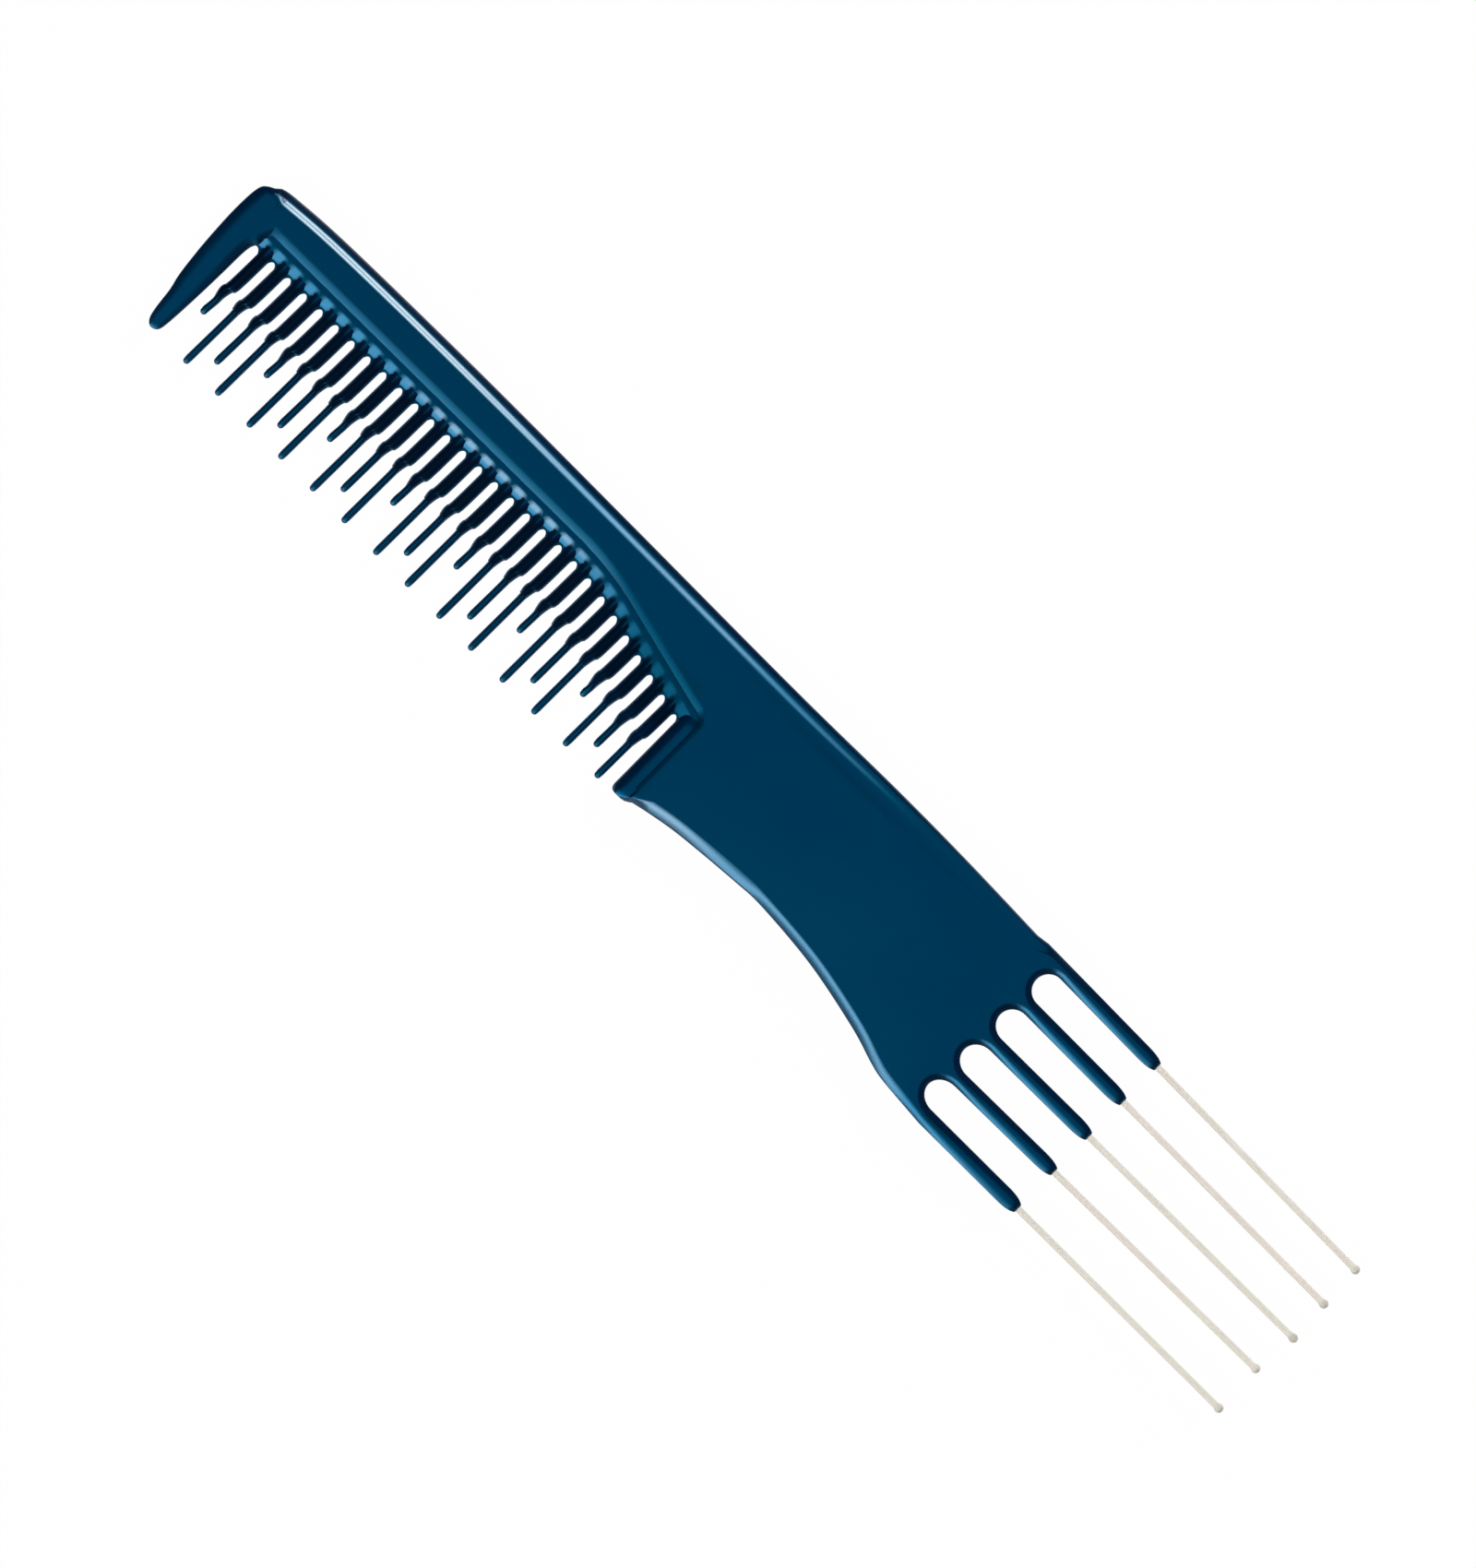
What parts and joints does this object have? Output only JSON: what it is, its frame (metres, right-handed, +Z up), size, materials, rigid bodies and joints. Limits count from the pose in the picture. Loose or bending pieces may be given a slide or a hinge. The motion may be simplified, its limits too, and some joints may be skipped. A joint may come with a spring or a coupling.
{
  "type": "lift comb",
  "caption": "Flat backcombing comb with a beaded spine, stepped teeth of alternating length and a fork of ball-tipped lift tines.",
  "frame": {"origin": "middle of the underside of the comb's box, as it lies flat", "axes": "+X along the comb to the tips of the tines, +Y to the spine, +Z up out of the upper face"},
  "size_m": [0.2, 0.0292, 0.004],
  "materials": {
    "body": "moulded dark blue plastic, satin gloss",
    "tines": "polished steel wire"
  },
  "bodies": {
    "root": {"comb_body": "body", "lift_tine_1": "tines", "lift_tine_2": "tines", "lift_tine_3": "tines", "lift_tine_4": "tines", "lift_tine_5": "tines"}
  },
  "joints": []
}
